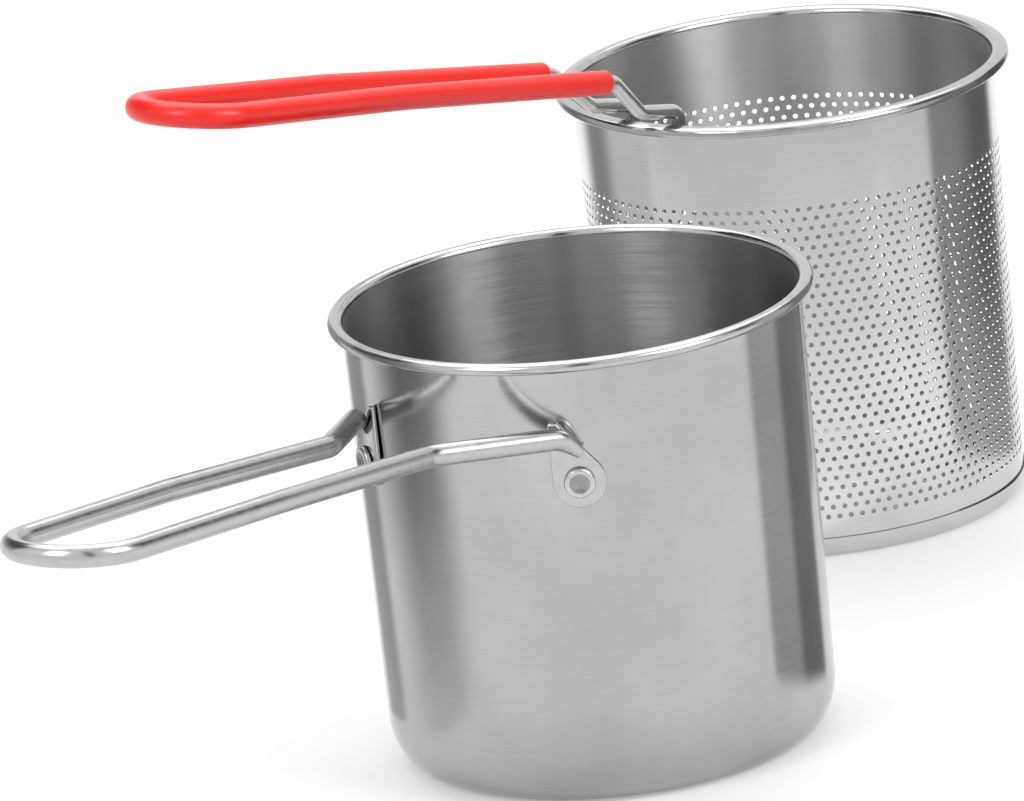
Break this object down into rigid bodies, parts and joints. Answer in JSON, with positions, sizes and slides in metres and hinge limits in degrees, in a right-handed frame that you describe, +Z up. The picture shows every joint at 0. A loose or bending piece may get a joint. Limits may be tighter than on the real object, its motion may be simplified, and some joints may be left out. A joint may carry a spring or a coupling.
{
  "type": "deep fry pot with basket",
  "caption": "Deep round steel pot with a riveted wire loop handle, and a perforated drainer basket that stands beside it and lifts by a sleeved wire handle.",
  "frame": {"origin": "centre of the pot's flat base, on the surface it stands on", "axes": "+Z up, -X along the pot's handle, +X towards the basket that stands beside the pot"},
  "size_m": [0.5858, 0.218, 0.2176],
  "materials": {
    "drawn_steel": "fine brushed, half mirror",
    "perforated_steel": "fine brushed sheet with rows of punched holes",
    "polished_steel": "polished",
    "red_plastic": "dipped, satin gloss"
  },
  "bodies": {
    "pot": {"pot_shell": "drawn_steel", "pot_handle_rod": "polished_steel", "pot_ear_left": "polished_steel", "pot_ear_right": "polished_steel", "pot_rivet_left": "polished_steel", "pot_rivet_right": "polished_steel"},
    "basket": {"basket_wall": "perforated_steel", "basket_base_pan": "drawn_steel", "basket_handle_rod": "polished_steel", "basket_handle_sleeve": "red_plastic"}
  },
  "joints": [
    {"name": "basket_lift", "type": "slide", "parent": "pot", "child": "basket", "axis": [0, 0, 1], "range_m": [0, 0.16]}
  ]
}
